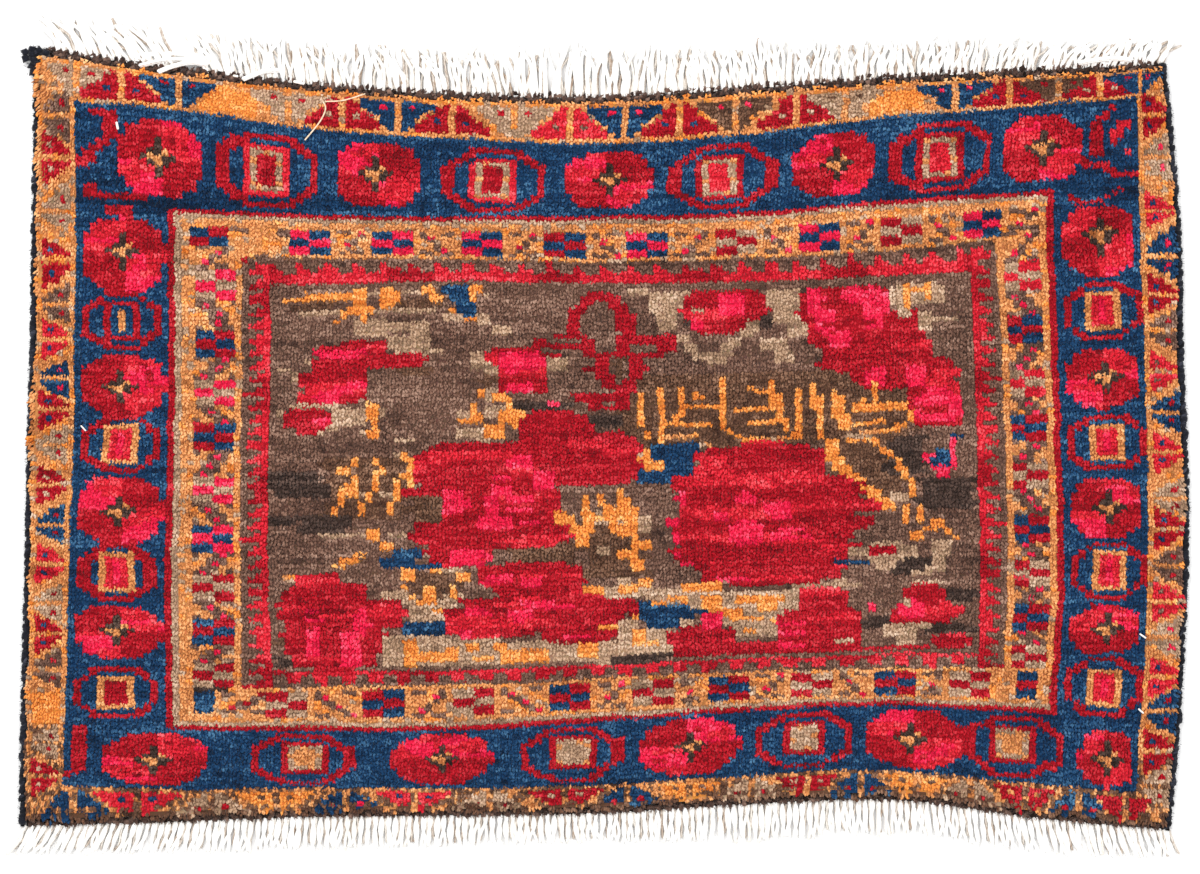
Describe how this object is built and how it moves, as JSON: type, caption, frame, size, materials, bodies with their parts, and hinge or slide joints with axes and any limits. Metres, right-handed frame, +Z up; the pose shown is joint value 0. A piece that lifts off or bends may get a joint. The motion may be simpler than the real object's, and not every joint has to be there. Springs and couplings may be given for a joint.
{
  "type": "small hand-knotted wool rug, laid flat",
  "caption": "Small tribal pile rug lying flat, with overcast sides, dark bound ends and a cotton fringe along both long ends.",
  "frame": {"origin": "on the floor, under the middle of the laid-out rug with its fringes", "axes": "+X along the long side, +Y from the near fringed end to the far one, against the lie of the pile, +Z up out of the pile"},
  "size_m": [0.921, 0.6616, 0.0095],
  "materials": {
    "pile_wool": "knotted wool pile, soft and matt",
    "side_wool": "overcast wool cord, matt",
    "end_wool": "flat-woven wool band, matt",
    "fringe_cotton": "loose twisted cotton, matt"
  },
  "bodies": {
    "root": {"knotted_pile": "pile_wool", "left_selvedge": "side_wool", "right_selvedge": "side_wool", "far_end_binding": "end_wool", "near_end_binding": "end_wool", "far_end_fringe": "fringe_cotton", "near_end_fringe": "fringe_cotton"}
  },
  "joints": []
}
